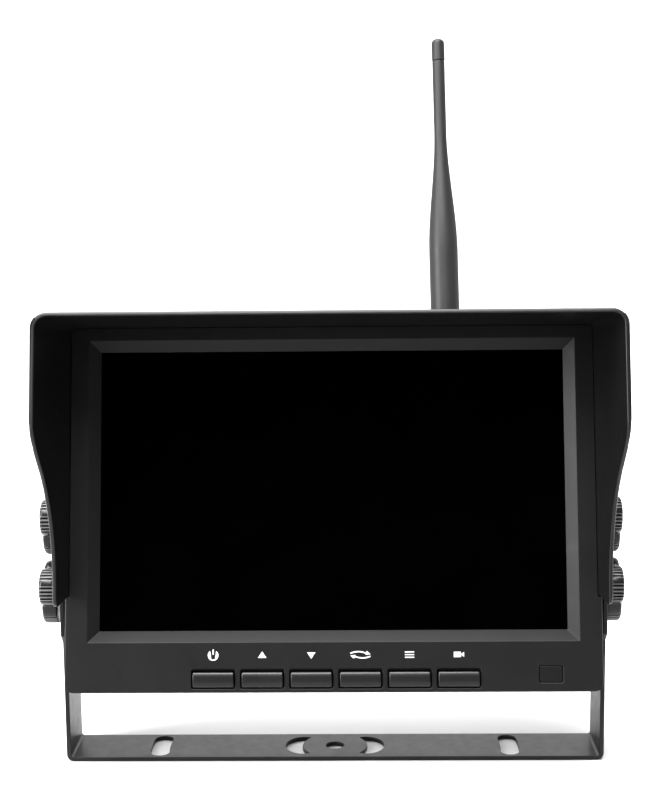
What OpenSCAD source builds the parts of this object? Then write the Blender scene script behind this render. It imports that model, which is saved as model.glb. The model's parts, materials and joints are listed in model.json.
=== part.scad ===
// Seven inch dashboard monitor of a wireless backup camera kit, with a sun hood,
// a folding antenna and a U-shaped tilt bracket. Millimetres, +Z up, +Y to the back.
// The origin is the centre of the screw hole in the bracket's foot, on its underside.

/* [Screen] */
// Visible width of the screen
view_w = 152.4; // [146:0.2:154]
// Visible height of the screen
view_h = 91.4; // [84:0.2:93]
// Width of the sloping frame round the screen
bevel_w = 3.7; // [2:0.1:4.5]
// Depth of the screen behind the front face
bevel_d = 2.9; // [2.4:0.1:3.2]

/* [Case] */
// Width of the case
case_w = 174.6; // [174:0.2:178]
// Case above the middle of the screen
case_up = 55; // [54.6:0.2:58]
// Case below the middle of the screen
case_down = 65.6; // [65:0.2:68]
// Thickness of the case from front face to back face
case_d = 30; // [30:0.5:32]
// Thickness of the front shell
front_d = 9; // [9:0.1:10]
// Corner radius of the front
case_r = 3; // [2.5:0.5:4]
// Wall thickness of both shells
wall = 2.2; // [1.8:0.1:2.4]
// Slope of the back edges, both across and deep
back_slope = 4; // [3:0.5:5]

/* [Hood] */
// Reach of the hood in front of the case
hood_reach = 43.7; // [36:0.1:48]
// Wall thickness of the hood
hood_t = 1.3; // [1.1:0.1:1.8]
// Sideways spread of the hood at its front edge, each side
hood_spread = 3.1; // [1:0.1:4]
// Drop of the hood's top at its front edge
hood_drop = 2.3; // [0:0.1:4]
// Lower end of the hood's sides below the middle of the screen
hood_low = 37.5; // [34:0.5:40]
// Rise of the hood's lower edge from its front corner to the case
hood_rise = 3.5; // [0:0.1:4]
// Depth of the step in the case that the hood sits on
hood_step = 2.4; // [2:0.1:2.4]

/* [Bracket] */
// Sheet thickness of the bracket
sheet_t = 1.5; // [1.2:0.1:2]
// Depth of the foot and legs, front to back
foot_d = 21.3; // [20:0.1:24]
// Depth of the widened leg head
head_d = 28; // [28:0.5:30]
// Gap between the case and each leg
leg_gap = 0.8; // [0.8:0.1:1.2]
// Outer radius of the two bends
bend_r = 2.4; // [2.2:0.1:4]
// Height of the tilt axis above the surface
pivot_h = 56.3; // [54:0.1:64]
// Distance between the two knobs on a leg
knob_pitch = 23; // [23:0.1:25]
// Backward tilt of the monitor as built
tilt = 13.4; // [0:0.1:18]
// Furthest tilt each way that the curved slot allows
tilt_limit = 20; // [20:1:22]

/* [Knobs] */
// Distance of each lobe's centre from the knob's axis
lobe_out = 5.1; // [4.5:0.1:5.1]
// Radius of each lobe
lobe_r = 6.2; // [5.6:0.1:6.2]
// Thickness of the knob
knob_t = 5.1; // [4.6:0.1:6]
// Gap left behind the two left knobs, which are not screwed right home
left_slack = 1.6; // [0:0.1:2]
// Radius of the knob's screw
stud_r = 2.5; // [2.4:0.05:2.5]

/* [Buttons] */
// Width of a button
button_w = 13.3; // [11:0.1:13.4]
// Height of a button
button_h = 5; // [4:0.1:5]
// Distance between button centres
button_pitch = 15.9; // [15.9:0.1:16.2]
// Travel of a button
button_travel = 0.8; // [0.5:0.1:0.8]

/* [Antenna] */
// Height of the antenna joint above the middle of the screen
aerial_z = 42; // [38:0.5:42]
// Distance of the antenna joint from the middle
aerial_x = 40.6; // [34:0.1:42]
// Sideways lean of the antenna to the left, in degrees
aerial_lean = 0.85; // [-3:0.05:3]
// Length of the antenna from its hinge to its tip
aerial_l = 124; // [90:1:150]
// Radius of the thick lower part
aerial_r = 5.2; // [4.8:0.1:5.4]
// Radius of the slim upper part
aerial_slim_r = 2.25; // [2:0.05:2.6]

/* [Hidden] */
$fn = 64;
eps = 0.01;

black = [0.09, 0.09, 0.095];
soft_black = [0.14, 0.14, 0.145];
steel = [0.72, 0.72, 0.74];
brass = [0.78, 0.62, 0.3];
board_green = [0.08, 0.3, 0.16];

// Case, measured from the middle of the screen on the front face: X right, Y into the case, Z up
half_w = case_w / 2;
pivot_y = 16.4;
pivot_z = 32.85 - case_down;
plate_d = bevel_d;
seam_gap = 0.1;
floor_d = case_d - wall;

// Hood
hood_front_r = 5;
hood_tab_w = 12;
hood_profile_n = 28;

// Bracket
leg_in = half_w + leg_gap;
leg_out = leg_in + sheet_t;
hole_play = 0.1;
slot_play = 0.3;
head_r = knob_pitch + stud_r + slot_play + 4;
head_low = 15;
foot_hole_r = 3;
foot_slot_r = 3.1;
inner_slot_near = 11;
inner_slot_mid = 10.5;
inner_slot_far = 16.7;
inner_slot_half_y = 7.6;
outer_slot_at = 59.2;
outer_slot_half = 5.6;

// Knobs, seen along the axis of the screw
contact_gap = 0.05;
washer_t = 0.9;
disc_t = leg_gap - contact_gap;
washer_x = leg_out + contact_gap;
knob_in = washer_x + washer_t + contact_gap;
stud_l = 13;
stud_cover = 2;
insert_l = 8;
insert_r = 4;
lobe_turn = 154;
groove_r = 0.45;

// Buttons
button_z = -61.35;
button_mid_x = 0.9;
button_gap = 0.35;
button_top_gap = 0.8;
button_proud = 0.9;
flange_t = 0.6;
flange_lip = 0.9;
stem_l = 0.7;
flange_y = plate_d + contact_gap;
stem_end = flange_y + flange_t + stem_l - 0.6;
plunger_y = stem_end + button_travel + contact_gap;
plunger_l = 0.6;
switch_w = 6;
switch_h = 3.5;

// Infrared window
ir_x = 70.4;
ir_z = -59.9;
ir_w = 7.4;
ir_h = 5.2;

// Inside
glass_w = 164.8;
glass_h = 100;
glass_t = 1.2;
frame_back = 8.6;
tray_t = 0.4;
board_y = 13;
board_t = 1.6;
post_r = 3;
board_x0 = -30;
board_x1 = 68;
board_z0 = -40;
board_z1 = 48;
board_holes = [[-26, 44], [64, 44], [-26, -36], [64, -36]];
key_y = 8.2;
key_t = 1.2;
key_posts = [[-54, -58], [61, -58]];
case_screws = [[-80, -59], [80, -59]];
speaker_x = -54;
speaker_z = 2;
speaker_r = 14;
inlet_x = -58;
inlet_z = -44;
inlet_r = 5.5;

// Antenna
jack_r = 3.1;
jack_end = case_d + 6.4;
nut_t = 2;
collar_y0 = case_d + nut_t + 0.5;
collar_y1 = collar_y0 + 6;
collar_r = 5;
flute_at = collar_r + 0.2;
elbow_r = 4.8;
hinge_y = collar_y1 + 8.2;
knuckle_w = 4.6;
pin_r = 1.25;
sleeve_start = elbow_r + 0.6;
tip_l = 8.5;
tip_gap = 0.25;
wire_r = 0.9;

// Places

// From the middle of the screen on the front face to the object's frame
module in_monitor() {
    translate([0, 0, pivot_h]) rotate([-tilt, 0, 0]) translate([0, -pivot_y, -pivot_z]) children();
}

// From the object's frame to the tilt axis, with the monitor's tilt
module at_pivot() {
    translate([0, 0, pivot_h]) rotate([-tilt, 0, 0]) children();
}

// Shapes

// Cylinder along +Y from y0 to y1 at x, z
module y_rod(x, z, r, y0, y1) {
    translate([x, y0, z]) rotate([-90, 0, 0]) cylinder(r = r, h = y1 - y0);
}

// Cylinder along +X from x0 to x1 at y, z
module x_rod(y, z, r, x0, x1) {
    translate([x0, y, z]) rotate([0, 90, 0]) cylinder(r = r, h = x1 - x0);
}

// Block between two corners
module block(low, high) {
    translate(low) cube(high - low);
}

// Rectangle with round corners, x0..x1 by z0..z1, as a slab from y0 to y1
module slab(x0, x1, z0, z1, r, y0, y1) {
    translate([0, y1, 0]) rotate([90, 0, 0]) linear_extrude(height = y1 - y0) {
        translate([x0 + r, z0]) square([x1 - x0 - 2 * r, z1 - z0]);
        translate([x0, z0 + r]) square([x1 - x0, z1 - z0 - 2 * r]);
        for (x = [x0 + r, x1 - r], z = [z0 + r, z1 - r]) translate([x, z]) circle(r = r);
    }
}

// Slab of the case's outline, shrunk by inset
module case_slab(inset, r, y0, y1) {
    slab(-half_w + inset, half_w - inset, -case_down + inset, case_up - inset, r, y0, y1);
}

// Slots through the foot, on the right-hand side: a crescent round the screw hole, and an arc further out
module inner_foot_slot() {
    half_x = inner_slot_far - inner_slot_mid;
    translate([0, 0, -1]) difference() {
        translate([inner_slot_mid, 0, 0]) scale([1, inner_slot_half_y / half_x, 1])
            cylinder(r = half_x, h = sheet_t + 2);
        translate([0, 0, -1]) cylinder(r = inner_slot_near, h = sheet_t + 4);
    }
}

module outer_foot_slot() {
    translate([0, 0, -1]) {
        rotate([0, 0, -outer_slot_half]) rotate_extrude(angle = 2 * outer_slot_half)
            translate([outer_slot_at - foot_slot_r, 0]) square([2 * foot_slot_r, sheet_t + 2]);
        for (a = [-outer_slot_half, outer_slot_half]) rotate([0, 0, a])
            translate([outer_slot_at, 0, 0]) cylinder(r = foot_slot_r, h = sheet_t + 2);
    }
}

// Bracket

module leg_outline() {
    intersection() {
        union() {
            translate([-foot_d / 2, 0]) square([foot_d, pivot_h]);
            translate([0, pivot_h]) intersection() {
                circle(r = head_r);
                polygon([[-head_d / 2, -head_low + 3], [-foot_d / 2, -head_low], [foot_d / 2, -head_low],
                    [head_d / 2, -head_low + 3], [head_d / 2, head_r], [-head_d / 2, head_r]]);
            }
        }
        translate([-head_d / 2, 0]) square([head_d, pivot_h + head_r]);
    }
}

module u_profile(inset, r) {
    w = 2 * (leg_out - inset);
    h = pivot_h + head_r + 1;
    translate([-w / 2 + r, inset]) square([w - 2 * r, h]);
    translate([-w / 2, inset + r]) square([w, h - r]);
    for (s = [-1, 1]) translate([s * (w / 2 - r), inset + r]) circle(r = r);
}

// Hole for the tilt axis and the curved slot above it, through both legs
module tilt_cuts() {
    reach = 2 * leg_out + 2;
    at_zero = [0, 0, pivot_h];
    translate(at_zero) translate([-reach / 2, 0, 0]) {
        x_rod(0, 0, stud_r + hole_play, 0, reach);
        for (a = [-tilt_limit, tilt_limit]) rotate([a, 0, 0])
            x_rod(0, knob_pitch, stud_r + slot_play, 0, reach);
        rotate([0, 90, 0]) rotate([0, 0, 180 - tilt_limit]) rotate_extrude(angle = 2 * tilt_limit)
            translate([knob_pitch - stud_r - slot_play, 0]) square([2 * (stud_r + slot_play), reach]);
    }
}

module u_bracket() {
    color(soft_black) difference() {
        intersection() {
            translate([0, head_d / 2, 0]) rotate([90, 0, 0]) linear_extrude(height = head_d) difference() {
                u_profile(0, bend_r);
                u_profile(sheet_t, bend_r - sheet_t);
            }
            translate([-leg_out - 1, 0, 0]) rotate([90, 0, 90])
                linear_extrude(height = 2 * leg_out + 2) leg_outline();
        }
        tilt_cuts();
        translate([0, 0, -1]) cylinder(r = foot_hole_r, h = sheet_t + 2);
        for (side = [0, 1]) mirror([side, 0, 0]) {
            inner_foot_slot();
            outer_foot_slot();
        }
    }
}

// Case

// Tapered opening round the screen
module screen_opening() {
    out_w = view_w + 2 * bevel_w;
    out_h = view_h + 2 * bevel_w;
    hull() {
        translate([-out_w / 2, -eps, -out_h / 2]) cube([out_w, eps, out_h]);
        translate([-view_w / 2, bevel_d, -view_h / 2]) cube([view_w, eps, view_h]);
    }
}

function button_x(i) = button_mid_x + (i - 2.5) * button_pitch;

module button_opening(i) {
    x = button_x(i);
    slab(x - button_w / 2 - button_gap, x + button_w / 2 + button_gap, button_z - button_h / 2 - button_gap,
        button_z + button_h / 2 + button_top_gap, 0.6, -1, plate_d + 1);
}

// Step round the top and upper sides that the hood's edge fits over
module hood_seat() {
    inset = hood_t + seam_gap;
    low = -hood_low + hood_rise - 1.1;
    difference() {
        translate([-half_w - 1, -1, low]) cube([case_w + 2, hood_step + 1, case_up - low + 2]);
        slab(-half_w + inset, half_w - inset, -case_down, case_up - inset, case_r - inset, -2, hood_step + 1);
    }
}

// Slots in the step for the hood's snap tabs
module hood_tabs(grow) {
    tab_in = hood_t + seam_gap + 1.2;
    for (x = [-50, 50]) translate([x - hood_tab_w / 2 - grow, 0.6 - grow, case_up - tab_in - grow])
        cube([hood_tab_w + 2 * grow, 1.2 + 2 * grow, 1.6 + grow]);
    for (s = [-1, 1]) translate([s * (half_w - tab_in + 0.8) - 0.8 - grow, 0.6 - grow, -grow])
        cube([1.6 + 2 * grow, 1.2 + 2 * grow, hood_tab_w + 2 * grow]);
}

module front_bezel() {
    color(black) in_monitor() difference() {
        union() {
            difference() {
                case_slab(0, case_r, 0, front_d);
                case_slab(wall, case_r - 1.5, plate_d, front_d + 1);
            }
            for (p = key_posts) y_rod(p[0], p[1], 2.4, plate_d - eps, key_y);
            for (p = case_screws) y_rod(p[0], p[1], post_r, plate_d - eps, front_d - 0.2);
        }
        screen_opening();
        for (i = [0:5]) button_opening(i);
        slab(ir_x - ir_w / 2 - seam_gap, ir_x + ir_w / 2 + seam_gap, ir_z - ir_h / 2 - seam_gap,
            ir_z + ir_h / 2 + seam_gap, 0.5, -1, plate_d + 1);
        hood_seat();
        hood_tabs(seam_gap);
        for (p = key_posts) y_rod(p[0], p[1], 0.9, 4, key_y + 1);
        for (p = case_screws) y_rod(p[0], p[1], 1.5, 4, front_d);
    }
}

// Solid outline of the back shell from the seam to the back face
module rear_outer() {
    hull() {
        case_slab(0, case_r, front_d, case_d - back_slope);
        case_slab(back_slope, case_r, case_d - eps, case_d);
    }
}

module rear_cavity() {
    hull() {
        case_slab(wall, case_r - 1, front_d - 1, floor_d - back_slope);
        case_slab(wall + back_slope, case_r - 1, floor_d - eps, floor_d);
    }
}

// Lip of the back shell that stands inside the front shell, with a gap for the key board
module rear_lip() {
    difference() {
        case_slab(wall + seam_gap, case_r - 1.5, front_d - 1.6, front_d + 1);
        case_slab(wall + seam_gap + 1, 0.5, front_d - 2, front_d + 2);
        block([-60, front_d - 2, -case_down], [79, front_d + 2, -60]);
    }
}

// Row of upright cooling slots through the back
module vent_row(x0, count, pitch, z0, z1) {
    for (i = [0:count - 1])
        slab(x0 + i * pitch - 0.9, x0 + i * pitch + 0.9, z0, z1, 0.85, floor_d - 1, case_d + 1);
}

// Rings of holes in front of the speaker
module speaker_grille() {
    y_rod(speaker_x, speaker_z, 1, floor_d - 1, case_d + 1);
    for (ring = [1:3], i = [0:6 * ring - 1])
        y_rod(speaker_x + 3.6 * ring * cos(60 * i / ring), speaker_z + 3.6 * ring * sin(60 * i / ring),
            1, floor_d - 1, case_d + 1);
}

// Blocks inside the sides that hold the threaded inserts
module insert_blocks() {
    for (s = [-1, 1]) {
        x = s * (half_w - (insert_l + 1.5) / 2 - 0.5);
        translate([x, pivot_y, pivot_z + knob_pitch / 2])
            cube([insert_l + 1.5, 2 * insert_r + 4, knob_pitch + 2 * insert_r + 4], center = true);
    }
}

module rear_housing() {
    color(black) in_monitor() difference() {
        union() {
            difference() {
                rear_outer();
                rear_cavity();
            }
            rear_lip();
            intersection() {
                insert_blocks();
                rear_outer();
            }
            for (p = board_holes) y_rod(p[0], p[1], post_r, board_y + board_t, floor_d + eps);
            for (p = case_screws) y_rod(p[0], p[1], post_r + 0.4, front_d, floor_d + eps);
            y_rod(inlet_x, inlet_z, inlet_r + 1.6, floor_d - 6, floor_d + eps);
        }
        for (s = [-1, 1], k = [0, 1])
            x_rod(pivot_y, pivot_z + k * knob_pitch, insert_r, s > 0 ? half_w - insert_l : -half_w - 1,
                s > 0 ? half_w + 1 : -half_w + insert_l);
        for (p = board_holes) y_rod(p[0], p[1], 1.1, board_y + board_t - 1, board_y + 9);
        for (p = case_screws) {
            y_rod(p[0], p[1], 1.6, front_d - 1, case_d + 1);
            y_rod(p[0], p[1], 2.9, case_d - 5, case_d + 1);
        }
        vent_row(-24, 16, 5.4, 22, 34);
        vent_row(-24, 16, 5.4, -56, -44);
        speaker_grille();
        y_rod(inlet_x, inlet_z, inlet_r + contact_gap, floor_d - 7, case_d + 1);
        y_rod(aerial_x, aerial_z, jack_r + 3 * contact_gap, floor_d - 1, case_d + 1);
    }
}

// Hood

function bezier(p, t) = pow(1 - t, 3) * p[0] + 3 * pow(1 - t, 2) * t * p[1]
    + 3 * (1 - t) * t * t * p[2] + pow(t, 3) * p[3];

// Front edge of the hood's side: straight down, then sweeping back towards the case
function side_edge() = [for (i = [0:hood_profile_n])
    bezier([[hood_reach, 18.4], [hood_reach, 8.9], [17.6, 3.2], [15.6, -32]], i / hood_profile_n)];

// Round corner at the lower end of the side
function side_foot() = [for (i = [1:8])
    bezier([[15.6, -32], [15.4, -hood_low + 1.5], [14.9, -hood_low], [12.2, -hood_low + 0.4]], i / 8)];

// Side view of the hood as forward reach against height
module hood_side() {
    polygon(concat([[-hood_step, case_up + 5], [hood_reach, case_up + 5]], side_edge(), side_foot(),
        [[-hood_step, -hood_low + hood_rise]]));
}

// Tunnel that the hood's wall follows, shrunk by inset: straight round the case, tapered in front of it
module hood_tunnel(inset, y_front, y_back) {
    w0 = half_w - inset;
    w1 = half_w + hood_spread - inset;
    z0 = case_up - inset;
    z1 = case_up - hood_drop - inset;
    slab(-w0, w0, -case_down, z0, case_r - inset, -eps, y_back);
    hull() {
        slab(-w0, w0, -case_down, z0, case_r - inset, -eps, 0);
        slab(-w1, w1, -case_down, z1, hood_front_r - inset, y_front, y_front + eps);
    }
}

module sun_hood() {
    color(black) in_monitor() {
        intersection() {
            difference() {
                hood_tunnel(0, -hood_reach, hood_step);
                hood_tunnel(hood_t, -hood_reach - eps, hood_step + eps);
            }
            translate([-half_w - 10, 0, 0]) mirror([0, 1, 0]) rotate([90, 0, 90])
                linear_extrude(height = case_w + 20) hood_side();
        }
        hood_tabs(0);
    }
}

// Display

module screen_glass() {
    color([0.01, 0.01, 0.012]) in_monitor()
        slab(-glass_w / 2, glass_w / 2, -glass_h / 2, glass_h / 2, 0.6, plate_d, plate_d + glass_t);
}

module light_guide() {
    color([0.9, 0.92, 0.95]) in_monitor()
        slab(-glass_w / 2 + 2, glass_w / 2 - 2, -glass_h / 2 + 5, glass_h / 2 - 2, 0.5,
            plate_d + glass_t + 0.1, frame_back - tray_t - 0.6);
}

module led_strip() {
    color([0.9, 0.85, 0.5]) in_monitor() {
        block([-75, plate_d + glass_t + 0.6, -glass_h / 2 + 1],
            [75, frame_back - tray_t - 0.3, -glass_h / 2 + 1.8]);
        for (i = [0:14]) block([-71 + i * 10, plate_d + glass_t + 1, -glass_h / 2 + 1.8],
            [-67 + i * 10, frame_back - tray_t - 1, -glass_h / 2 + 2.8]);
    }
}

module lcd_frame() {
    y0 = plate_d + glass_t;
    color(steel) in_monitor() difference() {
        block([-glass_w / 2, y0, -glass_h / 2], [glass_w / 2, frame_back, glass_h / 2]);
        block([-glass_w / 2 + tray_t, y0 - 1, -glass_h / 2 + tray_t],
            [glass_w / 2 - tray_t, frame_back - tray_t, glass_h / 2 - tray_t]);
    }
}

// Electronics

module main_board() {
    color(board_green) in_monitor() difference() {
        block([board_x0, board_y, board_z0], [board_x1, board_y + board_t, board_z1]);
        for (p = board_holes) y_rod(p[0], p[1], 1.4, board_y - 1, board_y + board_t + 1);
        y_rod(aerial_x, aerial_z, 0.8, board_y - 1, board_y + board_t + 1);
    }
}

module board_chips() {
    y = board_y + board_t;
    color([0.12, 0.12, 0.13]) in_monitor() {
        block([6, y, -14], [20, y + 1.2, 0]);
        block([28, y, -12], [38, y + 1, 0]);
        block([-20, y, 14], [-12, y + 1, 20]);
        block([-22, y, -20], [-12, y + 2.8, -10]);
        block([44, y, -24], [56, y + 3.5, -12]);
        block([-22, y, 28], [-10, y + 4.5, 33]);
        block([8, board_y - 2.2, -38], [40, board_y, -34]);
    }
}

module board_capacitors() {
    y = board_y + board_t;
    color([0.2, 0.22, 0.35]) in_monitor()
        for (p = [[-6, -26], [4, -26], [52, 4], [-16, 4]]) y_rod(p[0], p[1], 3.2, y, y + 7.5);
}

module rf_shield() {
    y = board_y + board_t;
    color(steel) in_monitor() difference() {
        block([8, y, 14], [32, y + 3, 46]);
        block([8.3, y - 1, 14.3], [31.7, y + 2.7, 45.7]);
    }
}

module board_screws() {
    color(steel) in_monitor() for (p = board_holes) {
        y_rod(p[0], p[1], 2.3, board_y - 1.6, board_y);
        y_rod(p[0], p[1], 1.05, board_y - eps, board_y + 7);
    }
}

module key_board() {
    color(board_green) in_monitor() difference() {
        block([-57.5, key_y, -63.2], [76, key_y + key_t, -52]);
        for (p = key_posts) y_rod(p[0], p[1], 1.1, key_y - 1, key_y + key_t + 1);
    }
}

module tact_switches() {
    color([0.2, 0.2, 0.2]) in_monitor() for (i = [0:5]) {
        block([button_x(i) - switch_w / 2, plunger_y + plunger_l, button_z - switch_h / 2],
            [button_x(i) + switch_w / 2, key_y, button_z + switch_h / 2]);
        y_rod(button_x(i), button_z, 1.5, plunger_y, plunger_y + plunger_l + eps);
    }
}

module key_board_screws() {
    color(steel) in_monitor() for (p = key_posts) {
        y_rod(p[0], p[1], 1.9, key_y + key_t, key_y + key_t + 1.2);
        y_rod(p[0], p[1], 0.85, key_y - 3, key_y + key_t + eps);
    }
}

module ir_window() {
    color([0.05, 0.02, 0.03]) in_monitor()
        slab(ir_x - ir_w / 2, ir_x + ir_w / 2, ir_z - ir_h / 2, ir_z + ir_h / 2, 0.5, 0.3, plate_d);
}

module ir_receiver() {
    color([0.1, 0.08, 0.1]) in_monitor() {
        block([ir_x - 3, 4.6, ir_z - 2.8], [ir_x + 3, key_y, ir_z + 2.8]);
        intersection() {
            translate([ir_x, 4.9, ir_z]) sphere(r = 1.8);
            block([ir_x - 3, 3, ir_z - 3], [ir_x + 3, 4.6 + eps, ir_z + 3]);
        }
    }
}

module speaker() {
    color([0.25, 0.25, 0.26]) in_monitor() difference() {
        union() {
            y_rod(speaker_x, speaker_z, speaker_r, floor_d - 3, floor_d);
            y_rod(speaker_x, speaker_z, 8, floor_d - 8, floor_d - 3 + eps);
        }
        y_rod(speaker_x, speaker_z, speaker_r - 1, floor_d - 2, floor_d + 1);
    }
}

module speaker_cone() {
    rim_r = speaker_r - 1.2;
    color([0.05, 0.05, 0.05]) in_monitor() translate([speaker_x, floor_d - 1.9, speaker_z]) rotate([-90, 0, 0])
        rotate_extrude() polygon([[0, 0], [4, 0], [rim_r, 1.4], [rim_r, 1.7], [4, 0.4], [0, 0.9]]);
}

module power_inlet() {
    color([0.05, 0.05, 0.05]) in_monitor() difference() {
        y_rod(inlet_x, inlet_z, inlet_r, floor_d - 9, case_d + 0.4);
        y_rod(inlet_x, inlet_z, 3, floor_d - 6.5, case_d + 1);
        y_rod(inlet_x, inlet_z, 1, floor_d - 10, floor_d - 6);
    }
}

module inlet_pin() {
    color(steel) in_monitor() y_rod(inlet_x, inlet_z, 1, floor_d - 9, case_d - 1.5);
}

// Fasteners

module housing_screws() {
    color(steel) in_monitor() for (p = case_screws) difference() {
        union() {
            y_rod(p[0], p[1], 2.7, case_d - 5, case_d - 3.2);
            y_rod(p[0], p[1], 1.4, 5, case_d - 5 + eps);
        }
        block([p[0] - 1.7, case_d - 3.8, p[1] - 0.3], [p[0] + 1.7, case_d - 3, p[1] + 0.3]);
        block([p[0] - 0.3, case_d - 3.8, p[1] - 1.7], [p[0] + 0.3, case_d - 3, p[1] + 1.7]);
    }
}

// One ring on each of the four knob screws, from x0 to x1 on the right-hand side
module four_rings(r, hole_r, x0, x1) {
    at_pivot() for (s = [0, 1], k = [0, 1]) mirror([s, 0, 0]) difference() {
        x_rod(0, k * knob_pitch, r, x0, x1);
        x_rod(0, k * knob_pitch, hole_r, x0 - 1, x1 + 1);
    }
}

module threaded_inserts() {
    color(brass) four_rings(insert_r, stud_r + hole_play, half_w - insert_l, half_w);
}

module friction_discs() {
    color([0.05, 0.05, 0.05]) four_rings(7, stud_r + slot_play, half_w, half_w + disc_t);
}

module clamp_washers() {
    color(steel) four_rings(6.5, stud_r + hole_play, washer_x, washer_x + washer_t);
}

// Knobs

// Three lobes seen along the axis, with grip grooves on both sides of each one
module knob_outline() {
    for_lobes = [0, 120, 240];
    difference() {
        for (turn = for_lobes) rotate(lobe_turn + turn) {
            translate([lobe_out, 0]) circle(r = lobe_r);
            translate([0, -lobe_r / 2]) square([lobe_out, lobe_r]);
        }
        for (turn = for_lobes, side = [-1, 1], a = [15:12:63]) rotate(lobe_turn + turn)
            translate([lobe_out, 0]) rotate(side * a) translate([lobe_r, 0]) circle(r = groove_r, $fn = 16);
    }
}

// Keeps the ends of the lobes chamfered
module knob_envelope() {
    tip_r = lobe_out + lobe_r + 0.1;
    rotate_extrude() polygon([[0, 0], [tip_r - 0.5, 0], [tip_r, 0.5], [tip_r, knob_t - 1.2],
        [tip_r - 1.2, knob_t], [0, knob_t]]);
}

// Distance of a knob's inner face from the middle
function knob_x(left) = knob_in + left * left_slack;

// Knob k of one side: 0 on the tilt axis, 1 above it
module knob(left, k) {
    color(black) at_pivot() mirror([left, 0, 0]) translate([knob_x(left), 0, k * knob_pitch])
        rotate([90, 0, 90]) difference() {
            intersection() {
                linear_extrude(height = knob_t) rotate(tilt) knob_outline();
                knob_envelope();
            }
            translate([0, 0, -1]) cylinder(r = stud_r, h = knob_t + 1 - stud_cover);
            translate([0, 0, knob_t - 0.8]) cylinder(r = 3.6, h = 1);
        }
}

module stud(left, k) {
    x1 = knob_x(left) + knob_t - stud_cover;
    color(steel) at_pivot() mirror([left, 0, 0]) x_rod(0, k * knob_pitch, stud_r, x1 - stud_l, x1);
}

module knob_left_lower() { knob(1, 0); }
module stud_left_lower() { stud(1, 0); }
module knob_left_upper() { knob(1, 1); }
module stud_left_upper() { stud(1, 1); }
module knob_right_lower() { knob(0, 0); }
module stud_right_lower() { stud(0, 0); }
module knob_right_upper() { knob(0, 1); }
module stud_right_upper() { stud(0, 1); }

// Buttons

// Button i, counted from the left: cap, flange behind the front wall, and stem
module push_button(i) {
    x = button_x(i);
    z0 = button_z - button_h / 2;
    z1 = button_z + button_h / 2;
    color(soft_black) in_monitor() {
        slab(x - button_w / 2, x + button_w / 2, z0, z1, 0.5, -button_proud, flange_y + eps);
        slab(x - button_w / 2 - flange_lip, x + button_w / 2 + flange_lip, -case_down + wall + 0.3,
            z1 + flange_lip + 0.6, 0.5, flange_y, flange_y + flange_t);
        y_rod(x, button_z, 1.6, flange_y + flange_t - eps, stem_end);
    }
}

module power_button() { push_button(0); }
module up_button() { push_button(1); }
module down_button() { push_button(2); }
module swap_button() { push_button(3); }
module menu_button() { push_button(4); }
module source_button() { push_button(5); }

// Antenna

// Turns the antenna about its jack, so that its top leans to the left
module leaning() {
    in_monitor() translate([aerial_x, 0, aerial_z]) rotate([0, -aerial_lean, 0])
        translate([-aerial_x, 0, -aerial_z]) children();
}

module antenna_jack() {
    color(brass) in_monitor() {
        y_rod(aerial_x, aerial_z, jack_r, board_y + board_t + 3, jack_end);
        block([aerial_x - 3.2, board_y + board_t, aerial_z - 3.2],
            [aerial_x + 3.2, board_y + board_t + 3 + eps, aerial_z + 3.2]);
    }
}

module jack_nut() {
    color(brass) in_monitor() difference() {
        translate([aerial_x, case_d, aerial_z]) rotate([-90, 0, 0]) cylinder(r = 4.6, h = nut_t, $fn = 6);
        y_rod(aerial_x, aerial_z, jack_r + contact_gap, case_d - 1, case_d + nut_t + 1);
    }
}

module antenna_collar() {
    color(brass) leaning() difference() {
        y_rod(aerial_x, aerial_z, collar_r, collar_y0, collar_y1);
        y_rod(aerial_x, aerial_z, jack_r + hole_play, collar_y0 - 1, jack_end + 0.4);
        for (a = [0:18:342]) y_rod(aerial_x + flute_at * cos(a), aerial_z + flute_at * sin(a),
            0.5, collar_y0 + 0.8, collar_y1 - 0.8);
    }
}

module antenna_elbow() {
    color(black) leaning() difference() {
        union() {
            y_rod(aerial_x, aerial_z, elbow_r, collar_y1, hinge_y);
            intersection() {
                x_rod(hinge_y, aerial_z, elbow_r, aerial_x - elbow_r, aerial_x + elbow_r);
                y_rod(aerial_x, aerial_z, elbow_r, hinge_y - eps, hinge_y + elbow_r);
            }
        }
        block([aerial_x - knuckle_w / 2 - 0.2, hinge_y - 5, aerial_z - elbow_r - 1],
            [aerial_x + knuckle_w / 2 + 0.2, hinge_y + elbow_r + 1, aerial_z + elbow_r + 1]);
        x_rod(hinge_y, aerial_z, pin_r, aerial_x - elbow_r - 1, aerial_x + elbow_r + 1);
    }
}

module antenna_hinge_pin() {
    color(steel) leaning() x_rod(hinge_y, aerial_z, pin_r, aerial_x - 4.2, aerial_x + 4.2);
}

// Radius of the whip at height h above the hinge
function whip_r(h) = let (t = min(1, max(0, (h - 45) / 44)))
    aerial_r + (aerial_slim_r - aerial_r) * (t * t * (3 - 2 * t));

function whip_outline() = concat(
    [[0, sleeve_start], [aerial_r - 0.6, sleeve_start], [aerial_r, sleeve_start + 0.6]],
    [for (h = [44:3:92]) [whip_r(h), h]],
    [[aerial_slim_r, aerial_l - tip_l], [0, aerial_l - tip_l]]);

module antenna_whip() {
    color(soft_black) leaning() translate([aerial_x, hinge_y, aerial_z]) difference() {
        union() {
            rotate_extrude() polygon(whip_outline());
            x_rod(0, 0, elbow_r - 0.4, -knuckle_w / 2, knuckle_w / 2);
            block([-knuckle_w / 2, -elbow_r + 0.6, 0], [knuckle_w / 2, elbow_r - 0.6, sleeve_start + 1]);
        }
        x_rod(0, 0, pin_r + hole_play, -knuckle_w, knuckle_w);
        translate([0, 0, 12]) cylinder(r = wire_r, h = aerial_l - 20);
    }
}

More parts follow.
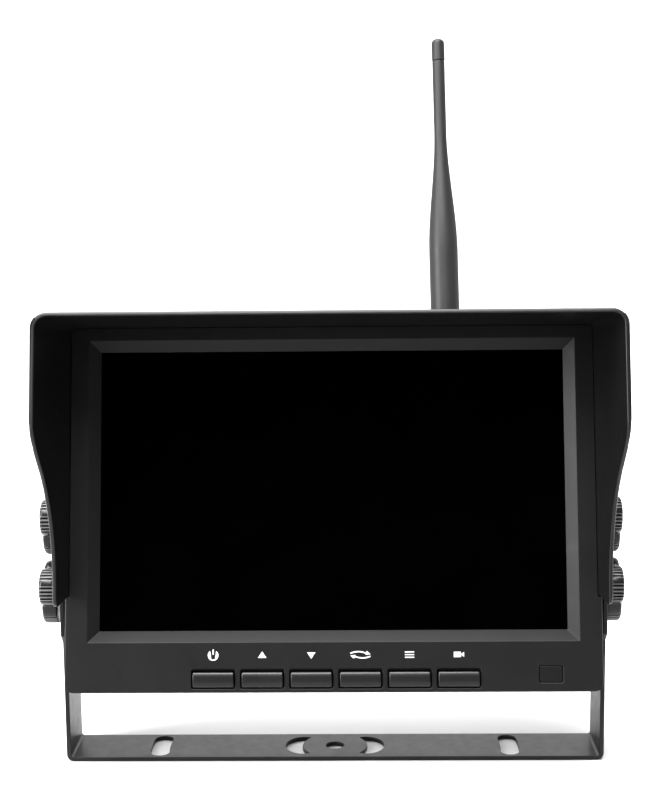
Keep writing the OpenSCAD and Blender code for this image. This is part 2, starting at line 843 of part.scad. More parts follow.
module antenna_wire() {
    color(brass) leaning() translate([aerial_x, hinge_y, aerial_z + 12])
        cylinder(r = wire_r, h = aerial_l - 21);
}

module antenna_tip() {
    r = aerial_slim_r + 0.1;
    color(soft_black) leaning() translate([aerial_x, hinge_y, aerial_z + aerial_l - tip_l]) rotate_extrude()
        polygon(concat([[0, 0], [r - 0.5, 0], [r - 0.5, tip_gap], [r - 0.1, tip_gap],
            [r, tip_gap + 0.3], [r, tip_l - 1.8]],
            [for (a = [15:15:90]) [r * cos(a), tip_l - 1.8 + 1.8 * sin(a)]]));
}

u_bracket();
front_bezel();
rear_housing();
sun_hood();
screen_glass();
light_guide();
led_strip();
lcd_frame();
main_board();
board_chips();
board_capacitors();
rf_shield();
board_screws();
key_board();
tact_switches();
key_board_screws();
ir_window();
ir_receiver();
speaker();
speaker_cone();
power_inlet();
inlet_pin();
housing_screws();
threaded_inserts();
friction_discs();
clamp_washers();
antenna_jack();
jack_nut();
power_button();
up_button();
down_button();
swap_button();
menu_button();
source_button();
knob_left_lower();
stud_left_lower();
knob_left_upper();
stud_left_upper();
knob_right_lower();
stud_right_lower();
knob_right_upper();
stud_right_upper();
antenna_collar();
antenna_elbow();
antenna_hinge_pin();
antenna_whip();
antenna_wire();
antenna_tip();
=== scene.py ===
"""Looks of the backup camera monitor: soft edges, ridged knobs, printed symbols, materials and a studio."""

import json
import math

import bmesh
import bpy
from mathutils import Matrix, Vector


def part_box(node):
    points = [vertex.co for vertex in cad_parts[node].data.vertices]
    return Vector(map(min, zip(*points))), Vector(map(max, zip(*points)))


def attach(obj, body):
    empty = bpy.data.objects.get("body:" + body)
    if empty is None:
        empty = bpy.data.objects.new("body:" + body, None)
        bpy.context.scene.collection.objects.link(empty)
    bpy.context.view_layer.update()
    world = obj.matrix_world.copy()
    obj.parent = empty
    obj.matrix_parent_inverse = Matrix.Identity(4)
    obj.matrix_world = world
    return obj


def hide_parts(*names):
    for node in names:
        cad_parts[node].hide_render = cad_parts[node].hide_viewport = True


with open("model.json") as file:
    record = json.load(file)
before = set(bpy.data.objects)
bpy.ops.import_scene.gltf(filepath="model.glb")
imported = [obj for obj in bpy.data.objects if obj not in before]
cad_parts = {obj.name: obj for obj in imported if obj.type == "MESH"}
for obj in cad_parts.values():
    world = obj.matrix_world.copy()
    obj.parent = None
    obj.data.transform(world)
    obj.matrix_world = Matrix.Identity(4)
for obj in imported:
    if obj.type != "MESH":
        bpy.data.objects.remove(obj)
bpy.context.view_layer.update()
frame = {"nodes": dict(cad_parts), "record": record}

MM = 0.001
BODY_OF = {node: body for body, nodes in frame["record"]["behaviour"]["bodies"].items() for node in nodes}

# Camera: place, lens and sensor in millimetres, angles in radians
CAMERA_AT = (8.8, -500.3, 193.0)
CAMERA_YAW = 0.0174
CAMERA_PITCH = -0.1444
CAMERA_ROLL = 0.0095
CAMERA_LENS = 69.06
SENSOR = 36

# How far the monitor leans back, and the directions across, into and up its screen
TILT = math.radians(13.4)
ACROSS = Vector((1, 0, 0))
INWARD = Vector((0, math.cos(TILT), -math.sin(TILT)))
UPWARD = Vector((0, math.sin(TILT), math.cos(TILT)))


# Places

def middle(node):
    """Middle of a CAD node's box."""
    low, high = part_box(node)
    return (low + high) / 2


def reach(node, direction):
    """Furthest a CAD node goes in a direction."""
    return max(v.co.dot(direction) for v in frame["nodes"][node].data.vertices)


FACE_X = middle("screen_glass").x
FACE_Z = (reach("screen_glass", UPWARD) - reach("screen_glass", -UPWARD)) / 2
FRONT_SHELL_Y = -reach("front_bezel", -INWARD)


def on_face(x, y, z):
    """Point a distance in millimetres right, into the case and up from the middle of the front face."""
    return ACROSS * (FACE_X + x * MM) + INWARD * (FRONT_SHELL_Y + y * MM) + UPWARD * (FACE_Z + z * MM)


def from_face(point):
    """How many millimetres a point is right, into the case and up from the middle of the front face."""
    return Vector((point.x - FACE_X, point.dot(INWARD) - FRONT_SHELL_Y, point.dot(UPWARD) - FACE_Z)) / MM


# Materials

CREST_HIGHLIGHT = "crest_light"  # the vertex attribute that says how much painted highlight each knob vertex carries, 0 to 1
PATCHES = (0.35, 0.7)  # noise values that become 0 and 1 where a tone changes in soft patches
ALL_OVER = (0.3, 0.7)  # the same, for a sheen that changes everywhere


class Shader:
    """A small helper that adds nodes to one material and wires them."""

    def __init__(self, name):
        self.material = bpy.data.materials.new(name)
        self.material.use_nodes = True
        self.tree = self.material.node_tree
        self.surface = self.tree.nodes["Principled BSDF"]
        self.place = self.add("ShaderNodeTexCoord").outputs["Object"]

    def add(self, kind, **inputs):
        node = self.tree.nodes.new(kind)
        for name, value in inputs.items():
            self.set(node, name.replace("_", " "), value)
        return node

    def set(self, node, socket, value):
        if isinstance(value, bpy.types.NodeSocket):
            self.tree.links.new(value, node.inputs[socket])
        else:
            node.inputs[socket].default_value = value

    def noise(self, size_mm, detail=3.0, rough=0.5):
        """Noise with features of about this size."""
        node = self.add("ShaderNodeTexNoise", Vector=self.place, Scale=1 / (size_mm * MM), Detail=detail,
                        Roughness=rough)
        return node.outputs["Fac"]

    def between(self, value, low, high, out_low=0, out_high=1):
        """A value's range from low to high, stretched over the output range."""
        node = self.add("ShaderNodeMapRange")
        for socket, amount in zip(range(5), (value, low, high, out_low, out_high)):
            self.set(node, socket, amount)
        return node.outputs["Result"]

    def mix(self, factor, first, second):
        """First colour where the factor is 0, second where it is 1."""
        node = self.tree.nodes.new("ShaderNodeMix")
        node.data_type = "RGBA"
        self.set(node, 0, factor)
        self.set(node, 6, first)
        self.set(node, 7, second)
        return node.outputs[2]

    def bump(self, height, distance_mm, strength=1.0, under=None):
        """Normal with relief of this depth, on top of another normal if one is given."""
        node = self.add("ShaderNodeBump", Height=height, Distance=distance_mm * MM, Strength=strength)
        if under is not None:
            self.set(node, "Normal", under)
        return node.outputs["Normal"]

    def finish(self, **inputs):
        """Sets the surface's inputs and returns the material."""
        for name, value in inputs.items():
            self.set(self.surface, name.replace("_", " "), value)
        return self.material


def grey(level, warm=0.0):
    """Linear grey, a little warmer, or cooler if warm is negative."""
    return (level * (1 + warm), level, level * (1 - warm), 1)


def moulded_plastic(name, dark, light, rough, grain_mm=0.35, grain=0.012, gloss=0.5):
    """Plastic with a fine spark-eroded grain, slow changes in tone, and a few patches rubbed shinier."""
    s = Shader(name)
    tone = s.between(s.noise(14, 4), *PATCHES)
    rubbed_and_highlight = s.between(s.noise(5, 6, 0.65), 0.55, 0.75)
    colour = s.mix(tone, grey(dark, -0.01), grey(light, -0.01))
    roughness = s.between(rubbed_and_highlight, 0, 1, rough + 0.03, rough - 0.05)
    relief = s.bump(s.noise(grain_mm, 2), grain, 0.8, s.bump(s.noise(6, 2), 0.02, 0.5))
    return s.finish(Base_Color=colour, Roughness=roughness, Normal=relief, Specular_IOR_Level=gloss)


def powder_coat(name):
    """Satin black powder coat on steel, with orange peel."""
    s = Shader(name)
    colour = s.mix(s.between(s.noise(9, 4), *PATCHES), grey(0.002), grey(0.004))
    roughness = s.between(s.noise(3, 5), *ALL_OVER, 0.36, 0.44)
    orange_peel = s.bump(s.noise(1.1, 2), 0.02, 0.7)
    relief = s.bump(s.noise(0.3, 2), 0.004, 0.5, orange_peel)
    return s.finish(Base_Color=colour, Roughness=roughness, Normal=relief, Specular_IOR_Level=0.27)


def worked_metal(name, colour, rough, grain_mm=0.6):
    """Plated or turned metal with fine tool marks and slight tarnish."""
    s = Shader(name)
    marks = s.noise(grain_mm, 5, 0.6)
    tarnish = s.between(s.noise(2.5, 4), 0.45, 0.75)
    dulled = tuple(c * 0.62 for c in colour[:3]) + (1,)
    return s.finish(Base_Color=s.mix(tarnish, colour, dulled), Metallic=1.0,
                    Roughness=s.between(marks, *ALL_OVER, rough - 0.06, rough + 0.1),
                    Normal=s.bump(marks, 0.01, 0.6))


def screen_glass():
    """Unlit display behind a dull anti-glare face."""
    s = Shader("display_glass")
    colour = s.mix(s.between(s.noise(30, 3), *ALL_OVER), grey(0.0001), grey(0.0003, -0.1))
    return s.finish(Base_Color=colour, Roughness=s.between(s.noise(8, 3), *ALL_OVER, 0.16, 0.2),
                    Normal=s.bump(s.noise(0.25, 2), 0.002, 0.3), Specular_IOR_Level=0.0)


def circuit_board():
    """Green solder mask with copper tracks under it."""
    s = Shader("solder_mask")
    tracks = s.add("ShaderNodeTexBrick", Vector=s.place, Scale=260.0, Mortar_Size=0.06).outputs["Fac"]
    colour = s.mix(tracks, (0.012, 0.085, 0.03, 1), (0.03, 0.16, 0.06, 1))
    return s.finish(Base_Color=colour, Roughness=s.between(s.noise(1.5, 3), *ALL_OVER, 0.3, 0.42),
                    Normal=s.bump(tracks, 0.03, 0.5))


def soft_rubber(name, level):
    """Matt rubber with a powdery bloom."""
    s = Shader(name)
    bloom = s.between(s.noise(1.2, 5, 0.6), 0.45, 0.7)
    return s.finish(Base_Color=s.mix(bloom, grey(level), grey(level * 1.9)), Roughness=0.82,
                    Normal=s.bump(s.noise(0.2, 3), 0.02, 0.7))


def ridged_nylon():
    """Glossy black nylon with a painted highlight: the crests of the ridges are painted pale and the grooves
    stay black.
    """
    s = Shader("knob_nylon")
    # painted highlight on the ridge crests, read from the vertex attribute
    wear_and_highlight = s.add("ShaderNodeAttribute")
    wear_and_highlight.attribute_name = CREST_HIGHLIGHT
    tone = s.between(s.noise(3, 4), *PATCHES, 0.7, 1)
    rubbed_and_highlight = s.add("ShaderNodeMath")
    rubbed_and_highlight.operation = "MULTIPLY"
    s.set(rubbed_and_highlight, 0, wear_and_highlight.outputs["Fac"])
    s.set(rubbed_and_highlight, 1, tone)
    # the pale grey on the ridge crests is a painted highlight, not the nylon's own colour
    return s.finish(Base_Color=s.mix(rubbed_and_highlight.outputs[0], grey(0.001), grey(0.15)),
                    Roughness=s.between(tone, 0.7, 1, 0.26, 0.2),
                    Normal=s.bump(s.noise(0.5, 2), 0.001, 0.6), Specular_IOR_Level=0.4)


def printed_ink():
    """Pale pad-printed ink, slightly uneven."""
    s = Shader("printed_ink")
    wear_and_highlight = s.between(s.noise(0.5, 4, 0.6), 0.35, 0.75)
    return s.finish(Base_Color=s.mix(wear_and_highlight, grey(0.82), grey(0.66)), Roughness=0.5,
                    Normal=s.bump(s.noise(0.15, 2), 0.004, 0.4))


def diffuser(name, colour):
    """Milky sheet or resin that spreads light."""
    s = Shader(name)
    tone = s.between(s.noise(4, 3), *ALL_OVER)
    deeper = tuple(c * 0.9 for c in colour[:3]) + (1,)
    return s.finish(Base_Color=s.mix(tone, colour, deeper), Roughness=0.35,
                    Normal=s.bump(s.noise(0.4, 2), 0.004, 0.4))


MATERIALS = {
    "bracket_steel": powder_coat("powder_coat"),
    "case_plastic": moulded_plastic("case_abs", 0.0025, 0.004, 0.42, gloss=0.28),
    "hood_plastic": moulded_plastic("hood_abs", 0.003, 0.005, 0.33, grain_mm=0.3, grain=0.006, gloss=0.45),
    "screen": screen_glass(),
    "light_guide": diffuser("light_guide_acrylic", (0.86, 0.9, 0.93, 1)),
    "led": diffuser("led_resin", (0.9, 0.82, 0.42, 1)),
    "sheet_steel": worked_metal("bare_sheet_steel", (0.58, 0.58, 0.6, 1), 0.34, 1.4),
    "circuit_board": circuit_board(),
    "components": moulded_plastic("package_epoxy", 0.02, 0.03, 0.5, grain_mm=0.2),
    "capacitor": moulded_plastic("capacitor_sleeve", 0.03, 0.05, 0.3, grain_mm=0.6),
    "ir_lens": moulded_plastic("ir_filter", 0.003, 0.005, 0.3, grain=0.002, gloss=0.3),
    "fastener_steel": worked_metal("zinc_plate", (0.62, 0.62, 0.64, 1), 0.3),
    "brass": worked_metal("turned_brass", (0.72, 0.5, 0.2, 1), 0.28),
    "friction_rubber": soft_rubber("friction_rubber", 0.014),
    "socket_plastic": moulded_plastic("socket_nylon", 0.012, 0.018, 0.4),
    "button_plastic": moulded_plastic("button_abs", 0.002, 0.004, 0.28, grain_mm=0.3, grain=0.004, gloss=0.5),
    "knob_plastic": ridged_nylon(),
    "antenna_plastic": moulded_plastic("antenna_rubber", 0.012, 0.017, 0.44, grain_mm=0.25, grain=0.006,
                                       gloss=0.36),
}
INK = printed_ink()


# Meshes

WELD = 1e-6  # metres
FLAT_ANGLE = math.radians(0.4)


def welded(node, merged=True):
    """A CAD node's mesh with its corners joined and, if asked, each flat face in one piece."""
    bm = bmesh.new()
    bm.from_mesh(frame["nodes"][node].data)
    bmesh.ops.remove_doubles(bm, verts=bm.verts, dist=WELD)
    if merged:
        bmesh.ops.dissolve_limit(bm, angle_limit=FLAT_ANGLE, verts=bm.verts, edges=bm.edges)
    return bm


def turns(edge, angle):
    """Whether an edge joins two faces that meet at more than this many degrees."""
    return len(edge.link_faces) == 2 and edge.calc_face_angle() > math.radians(angle)


def round_edges(bm, radius_mm, steps=2, angle=30, where=lambda point: True):
    """Rounds every edge that turns by more than the angle and whose middle passes the test."""
    sharp = [e for e in bm.edges if turns(e, angle) and where((e.verts[0].co + e.verts[1].co) / 2)]
    bmesh.ops.bevel(bm, geom=sharp, offset=radius_mm * MM, offset_type="OFFSET", segments=steps, profile=0.5,
                    affect="EDGES", clamp_overlap=False)


def make_piece(bm, name, body, material, stands_for=(), sharp_angle=50):
    """Object from a bmesh, smooth with flat faces kept flat, that rides on a CAD body."""
    mesh = bpy.data.meshes.new(name)
    bm.to_mesh(mesh)
    bm.free()
    if "custom_normal" in mesh.attributes:
        mesh.attributes.remove(mesh.attributes["custom_normal"])
    mesh.materials.clear()
    mesh.materials.append(material)
    mesh.shade_smooth()
    mesh.set_sharp_from_angle(angle=math.radians(sharp_angle))
    obj = bpy.data.objects.new(name, mesh)
    bpy.context.scene.collection.objects.link(obj)
    weighted = obj.modifiers.new("even_shading", "WEIGHTED_NORMAL")
    weighted.keep_sharp = True
    bpy.context.view_layer.update()
    obj.data = bpy.data.meshes.new_from_object(obj.evaluated_get(bpy.context.evaluated_depsgraph_get()))
    obj.data.name = name
    obj.modifiers.clear()
    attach(obj, body)
    if stands_for:
        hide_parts(*stands_for)
    return obj


SLOT_OF = {}
for cad_object in frame["nodes"].values():
    SLOT_OF[cad_object.name] = cad_object.material_slots[0].material.name
    cad_object.material_slots[0].material = MATERIALS[SLOT_OF[cad_object.name]]


def stand_in(bm, node, sharp_angle=50):
    """Object from a bmesh that stands for one CAD node."""
    slot = SLOT_OF[node]
    return make_piece(bm, node + "_soft", BODY_OF[node], MATERIALS[slot], [node], sharp_angle)


def softened(node, radius_mm):
    """Object that stands for one CAD node, with its edges rounded."""
    bm = welded(node)
    round_edges(bm, radius_mm)
    return stand_in(bm, node)


# Edge radius in millimetres of each piece that only needs its edges softened
EDGE_RADII = {"u_bracket": 0.25, "screen_glass": 0.15, "clamp_washers": 0.12, "power_inlet": 0.15,
              "ir_window": 0.25, "antenna_collar": 0.08, "antenna_elbow": 0.25, "antenna_whip": 0.1,
              "antenna_tip": 0.05, "jack_nut": 0.12, "housing_screws": 0.06}
for node, radius in EDGE_RADII.items():
    softened(node, radius)


# Hood

RIM_SLANT = 0.25  # how far the free edge's outer side is pushed back
RIM_RADIUS = 0.42
HOOD_RADIUS = 0.15
HOOD_FRONT = -1  # in front of this is hood, behind it is its collar round the case
LEVEL, FORWARD = 0.05, 0.7  # parts of a face's normal: across at most, forward at least


def is_rim(face, point):
    """Whether a hood face is its free edge: level across, and facing forward along the top."""
    level = abs(face.normal.dot(ACROSS)) < LEVEL
    return level and (point.z < 0 or face.normal.dot(INWARD) < -FORWARD)


def sun_hood():
    """Hood whose free edge slants back to its outer side, with soft corners."""
    bm = welded("sun_hood")
    pushed = {}
    for e in bm.edges:
        point = from_face((e.verts[0].co + e.verts[1].co) / 2)
        if point.y > HOOD_FRONT or not turns(e, 60):
            continue
        rims = [f for f in e.link_faces if is_rim(f, point)]
        walls = [f for f in e.link_faces if f not in rims]
        if len(rims) == 1 and walls[0].normal.dot(ACROSS * point.x + UPWARD * point.z) > 0:
            for v in e.verts:
                pushed.setdefault(v, []).append(rims[0].normal.copy())
    for v, normals in pushed.items():
        v.co -= sum(normals, Vector()).normalized() * RIM_SLANT * MM
    slanted = [f for f in bm.faces if len(f.verts) > 3 and any(v in pushed for v in f.verts)]
    bmesh.ops.triangulate(bm, faces=slanted)
    round_edges(bm, RIM_RADIUS, steps=4, angle=40, where=lambda point: from_face(point).y < HOOD_FRONT)
    round_edges(bm, HOOD_RADIUS, steps=2, angle=60, where=lambda point: from_face(point).y > HOOD_FRONT)
    stand_in(bm, "sun_hood")


sun_hood()


# Case

BUTTONS = ("power_button", "up_button", "down_button", "swap_button", "menu_button", "source_button")
RIM_EDGE = 0.6  # radius round the front of the case
OPENING_EDGE = 0.4  # radius round the button openings
CASE_EDGE = 0.18  # radius everywhere else
HALF_ROW = 4  # more than half the height of a button opening


def shells():
    """Front shell with a soft outer edge and rounded button openings, and the pierced back shell."""
    half_w = (reach("front_bezel", ACROSS) + reach("front_bezel", -ACROSS)) / 2 / MM
    top = (reach("front_bezel", UPWARD) - FACE_Z) / MM
    bottom = (-reach("front_bezel", -UPWARD) - FACE_Z) / MM
    button_tops = from_face(middle(BUTTONS[0])).z + HALF_ROW

    def at_rim(point, depth):
        """Whether a point is this near the outer edge of the case, seen from the front."""
        p = from_face(point)
        return abs(p.x) > half_w - depth or p.z > top - depth or p.z < bottom + depth

    def at_front_rim(point):
        return from_face(point).y < 0.3 and at_rim(point, 0.3)

    def at_opening(point):
        p = from_face(point)
        return p.y < 0.1 and p.z < button_tops and not at_rim(point, 0.8)

    front = welded("front_bezel")
    round_edges(front, RIM_EDGE, steps=3, angle=60, where=at_front_rim)
    round_edges(front, OPENING_EDGE, steps=3, angle=60, where=at_opening)
    round_edges(front, CASE_EDGE)
    stand_in(front, "front_bezel")

    back = welded("rear_housing", merged=False)
    round_edges(back, CASE_EDGE)
    stand_in(back, "rear_housing")


shells()


# Buttons

CROWN = 0.55  # how far a cap's long edges lie behind its middle
CROWN_CUTS = 7
BUTTON_EDGE = 0.35
CAP_FRONT = -0.1  # a cap is what stands in front of this


def crowned_button(node):
    """Push button with soft edges and a cap that curves from its middle to its long edges."""
    bm = welded(node)
    round_edges(bm, BUTTON_EDGE, 3)
    cap = [from_face(v.co) for v in bm.verts if from_face(v.co).y < CAP_FRONT]
    low, high = min(p.z for p in cap), max(p.z for p in cap)
    centre, half = (low + high) / 2, (high - low) / 2
    for i in range(1, CROWN_CUTS + 1):
        cut = on_face(0, 0, low + (high - low) * i / (CROWN_CUTS + 1))
        everything = bm.verts[:] + bm.edges[:] + bm.faces[:]
        bmesh.ops.bisect_plane(bm, geom=everything, plane_co=cut, plane_no=UPWARD)
    for v in bm.verts:
        p = from_face(v.co)
        if p.y < CAP_FRONT:
            v.co += INWARD * (CROWN * abs((p.z - centre) / half) ** 3 * MM)
    return stand_in(bm, node)


for node in BUTTONS:
    crowned_button(node)


# Symbols over the buttons

INK_PROUD = 0.03
INK_SUNK = 0.02
SYMBOL_ROW = 7.45  # from the middle of a button up to its symbol


def symbol(name, above, strokes):
    """Printed symbol over a button: each stroke is a closed outline in millimetres."""
    button = from_face(middle(above))
    x0, z0 = button.x, button.z + SYMBOL_ROW
    bm = bmesh.new()
    for outline in strokes:
        front, back = ([bm.verts.new(on_face(x0 + x, y, z0 + z)) for x, z in outline]
                       for y in (-INK_PROUD, INK_SUNK))
        bm.faces.new(front)
        bm.faces.new(back[::-1])
        for i in range(len(outline)):
            j = (i + 1) % len(outline)
            bm.faces.new((front[j], front[i], back[i], back[j]))
    bmesh.ops.triangulate(bm, faces=[f for f in bm.faces if len(f.verts) > 4])
    bmesh.ops.recalc_face_normals(bm, faces=bm.faces)
    return make_piece(bm, name, "monitor", INK)


def bar(x0, z0, x1, z1):
    """Rectangle between two opposite corners."""
    return [(x0, z0), (x1, z0), (x1, z1), (x0, z1)]


def arc_band(radius, width, start, end, steps=24):
    """Band along an arc, from one angle to another in degrees."""
    def arc(r, angles):
        return [(r * math.cos(a), r * math.sin(a)) for a in angles]

    turned = [math.radians(start + (end - start) * i / steps) for i in range(steps + 1)]
    return arc(radius + width / 2, turned) + arc(radius - width / 2, turned[::-1])


def bowed_arrow(side):
    """Arrow that bows up and points right, or with side -1, the same turned by half a turn."""
    shaft = [(x - 0.7, z - 5.5) for x, z in arc_band(6.5, 0.42, 113, 67.4)]
    head = [(1.6, 0.02), (3.3, 0.15), (2.1, 1.23)]
    return [[(side * x, side * z) for x, z in outline] for outline in (shaft, head)]


symbol("symbol_power", "power_button", [arc_band(1.55, 0.36, 128, 412), bar(-0.18, 0.25, 0.18, 1.9)])
symbol("symbol_up", "up_button", [[(-1.35, -0.85), (1.35, -0.85), (0, 1.2)]])
symbol("symbol_down", "down_button", [[(-1.35, 0.85), (0, -1.2), (1.35, 0.85)]])
symbol("symbol_swap", "swap_button", bowed_arrow(1) + bowed_arrow(-1))
symbol("symbol_menu", "menu_button", [bar(-1.5, z - 0.17, 1.5, z + 0.17) for z in (-0.85, 0, 0.85)])
symbol("symbol_camera", "source_button", [
    bar(-1.6, -0.85, 0.7, 0.85), [(0.85, -0.15), (1.7, -0.8), (1.7, 0.8), (0.85, 0.15)]])


# Knobs

# Lobes: distance of their middles from the axis, radius, angles in degrees, and how soft the valleys are
LOBE_OUT = 5.1
LOBE_R = 6.2
LOBES = (154, 274, 34)
VALLEY_BLEND = 0.4
# Ridges: degrees round the lobe, depth, and the shares of a step where the crest ends and the groove begins
RIDGE_STEP = 12
RIDGE_FROM, RIDGE_TO = 9, 69
RIDGE_DEPTH = 0.6
CREST, FLOOR = 0.3, 0.8
PLAIN_HIGHLIGHT = 0.06  # painted highlight where there are no ridges
HIGHLIGHT_FADE = 1.6  # how soon the painted highlight ends beside a crest
KNOB_SIDES = 720
# Radius of the outer end's edge and its steps, and how much of the ridges is left there
KNOB_ROUND = 1.2
ROUND_STEPS = 6
END_RIDGES = 0.4
# The round recess in the outer end, and the hole for the screw
RECESS_R = 3.6
RECESS_DEEP = 0.8
SCREW_R = 2.5
SCREW_TO_END = 2


def knob_outline(angle, ridges):
    """Distance of the knob's outline from its axis in millimetres, and how much painted highlight it carries
    there.
    """
    reaches, wear_and_highlight = [], []
    for lobe in LOBES:
        off = math.radians((angle - lobe + 180) % 360 - 180)
        out = LOBE_OUT * math.cos(off) + math.sqrt(LOBE_R ** 2 - (LOBE_OUT * math.sin(off)) ** 2)
        round_lobe = abs(math.degrees(math.atan2(out * math.sin(off), out * math.cos(off) - LOBE_OUT)))
        # painted highlight: full on the crests, fading to none in the grooves
        crest_light = PLAIN_HIGHLIGHT
        if RIDGE_FROM < round_lobe < RIDGE_TO:
            across = abs(2 * (((round_lobe - RIDGE_FROM) / RIDGE_STEP + 0.5) % 1) - 1)
            sunk = min(1, max(0, (across - CREST) / (FLOOR - CREST)))
            out -= RIDGE_DEPTH * ridges * sunk * sunk * (3 - 2 * sunk)
            crest_light = 1 - min(1, HIGHLIGHT_FADE * sunk)
        reaches.append(out)
        wear_and_highlight.append(crest_light)
    outline = VALLEY_BLEND * math.log(sum(math.exp(r / VALLEY_BLEND) for r in reaches))
    return outline, wear_and_highlight[reaches.index(max(reaches))]


def knob_section(thick):
    """Rows from the screw hole out and round to the recess.

    A row is its place along the axis, then either a radius and None, or how far it is inside the outline and
    how much of the ridges it has.
    """
    shoulder = thick - KNOB_ROUND
    rows = [(thick - SCREW_TO_END, SCREW_R, None), (0, SCREW_R, None),
            (0, 0.45, 0.7), (0.12, 0.15, 1), (0.45, 0, 1), (shoulder, 0, 1)]
    for i in range(1, ROUND_STEPS + 1):
        a = math.pi / 2 * i / ROUND_STEPS
        ridges = 1 - (1 - END_RIDGES) * i / ROUND_STEPS
        rows.append((shoulder + KNOB_ROUND * math.sin(a), KNOB_ROUND * (1 - math.cos(a)), ridges))
    return rows + [(thick, RECESS_R + 0.3, None), (thick - 0.08, RECESS_R + 0.08, None),
                   (thick - 0.3, RECESS_R, None), (thick - RECESS_DEEP, RECESS_R, None),
                   (thick - RECESS_DEEP, 0.6, None)]


def lobed_knob(node, stud):
    """Three-lobed hand knob with fine grip ridges, filleted valleys and a rounded outer end."""
    side = 1 if middle(node).x > 0 else -1
    axis = middle(stud)
    low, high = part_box(node)
    inner_x = low.x if side > 0 else high.x
    bm = bmesh.new()
    # vertex attribute for the painted highlight on the ridge crests
    crest_light = bm.verts.layers.float.new(CREST_HIGHLIGHT)
    rings = []
    for x, size, ridges in knob_section((high.x - low.x) / MM):
        ring = []
        for i in range(KNOB_SIDES):
            angle = 360 * i / KNOB_SIDES
            outline, wear_and_highlight = knob_outline(angle, ridges or 0)
            r = size if ridges is None else outline - size
            a = math.radians(angle)
            out = Vector((side * x, r * math.cos(a), r * math.sin(a))) * MM
            ring.append(bm.verts.new(Vector((inner_x, axis.y, axis.z)) + out))
            ring[-1][crest_light] = wear_and_highlight if ridges else PLAIN_HIGHLIGHT
        rings.append(ring)
    for near, far in zip(rings, rings[1:]):
        for i in range(KNOB_SIDES):
            j = (i + 1) % KNOB_SIDES
            bm.faces.new((near[i], near[j], far[j], far[i]))
    bm.faces.new(rings[0])
    bm.faces.new(rings[-1][::-1])
    bmesh.ops.recalc_face_normals(bm, faces=bm.faces)
    return stand_in(bm, node, 60)


for place in ("left_lower", "left_upper", "right_lower", "right_upper"):
    lobed_knob("knob_" + place, "stud_" + place)


# Studio

SWEEP_HALF = 3.0  # metres, like every length in this section
SWEEP_FRONT, SWEEP_BACK = -3.0, 1.6
SWEEP_BEND = 0.8
SWEEP_RISE = 3.0
BEND_STEPS = 15
DARK_TO, PALE_FROM = -0.08, 0.03  # the paper is darker in front of the object, to keep its underside dark
SURROUND_Y = (-0.3, 0.5)  # the world's directions between which its strength changes, as the Y part
SURROUND_STRENGTH = (0.4, 1.15)
AIM = Vector((0, 0, 0.08))
BACKDROP_AIM = Vector((0, 2.2, 0.3))


def sweep():
    """Floor that bends up into a backdrop, with pale paper on it."""
    bend = [math.pi / 2 * i / BEND_STEPS for i in range(1, BEND_STEPS + 1)]
    profile = [(SWEEP_FRONT, 0), (SWEEP_BACK, 0)]
    profile += [(SWEEP_BACK + SWEEP_BEND * math.sin(a), SWEEP_BEND * (1 - math.cos(a))) for a in bend]
    profile.append((SWEEP_BACK + SWEEP_BEND, SWEEP_BEND + SWEEP_RISE))
    bm = bmesh.new()
    left, right = ([bm.verts.new((x, y, z)) for y, z in profile] for x in (-SWEEP_HALF, SWEEP_HALF))
    for i in range(len(profile) - 1):
        bm.faces.new((left[i], right[i], right[i + 1], left[i + 1]))
    mesh = bpy.data.meshes.new("sweep")
    bm.to_mesh(mesh)
    bm.free()
    mesh.shade_smooth()
    floor = bpy.data.objects.new("sweep", mesh)
    bpy.context.scene.collection.objects.link(floor)
    s = Shader("pale_paper")
    along = s.add("ShaderNodeSeparateXYZ", Vector=s.place).outputs["Y"]
    paper = s.mix(s.noise(200, 3), grey(0.86), grey(0.9))
    colour = s.mix(s.between(along, DARK_TO, PALE_FROM), grey(0.3), paper)
    mesh.materials.append(s.finish(Base_Color=colour, Roughness=0.9, Specular_IOR_Level=0.1))


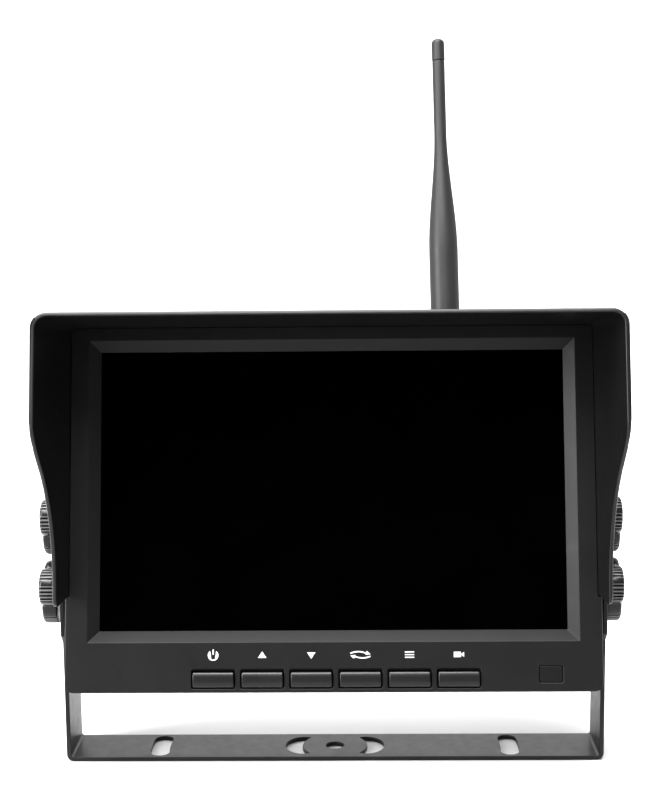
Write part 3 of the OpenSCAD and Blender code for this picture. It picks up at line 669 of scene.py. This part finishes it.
def surround():
    """White world that is dimmer on the viewer's side than behind the object."""
    world = bpy.data.worlds.new("surround")
    bpy.context.scene.world = world
    world.use_nodes = True
    nodes, links = world.node_tree.nodes, world.node_tree.links
    facing = nodes.new("ShaderNodeSeparateXYZ")
    strength = nodes.new("ShaderNodeMapRange")
    for socket, amount in zip(range(1, 5), SURROUND_Y + SURROUND_STRENGTH):
        strength.inputs[socket].default_value = amount
    links.new(nodes.new("ShaderNodeTexCoord").outputs["Generated"], facing.inputs[0])
    links.new(facing.outputs["Y"], strength.inputs[0])
    links.new(strength.outputs[0], nodes["Background"].inputs["Strength"])
    nodes["Background"].inputs["Color"].default_value = (1, 1, 1, 1)


def area_light(name, at, aim, size_x, size_y, watts):
    """Rectangular softbox that points at a place."""
    light = bpy.data.lights.new(name, "AREA")
    light.shape = "RECTANGLE"
    light.size = size_x
    light.size_y = size_y
    light.energy = watts
    lamp = bpy.data.objects.new(name, light)
    bpy.context.scene.collection.objects.link(lamp)
    lamp.location = at
    lamp.rotation_euler = (aim - Vector(at)).to_track_quat("-Z", "Y").to_euler()


def camera():
    """Camera at the photograph's viewing angle."""
    turn = (Matrix.Rotation(CAMERA_YAW, 4, "Z") @ Matrix.Rotation(CAMERA_PITCH, 4, "X")
            @ Matrix.Rotation(CAMERA_ROLL, 4, "Y"))
    looking_along_y = Matrix.Rotation(math.pi / 2, 4, "X")
    data = bpy.data.cameras.new("photo_view")
    data.sensor_width = SENSOR
    data.lens = CAMERA_LENS
    data.clip_start = 0.01
    data.clip_end = 50
    obj = bpy.data.objects.new("photo_view", data)
    bpy.context.scene.collection.objects.link(obj)
    obj.matrix_world = Matrix.Translation(Vector(CAMERA_AT) * MM) @ turn @ looking_along_y
    bpy.context.scene.camera = obj


sweep()
surround()
area_light("overhead", (-0.15, -0.3, 1.05), AIM, 0.9, 1.0, 44)
area_light("left", (-0.98, -0.55, 0.43), AIM, 0.5, 0.6, 18)
area_light("backdrop", (0.0, 0.9, 1.5), BACKDROP_AIM, 1.2, 0.6, 40)
camera()
bpy.context.scene.view_settings.view_transform = "Standard"
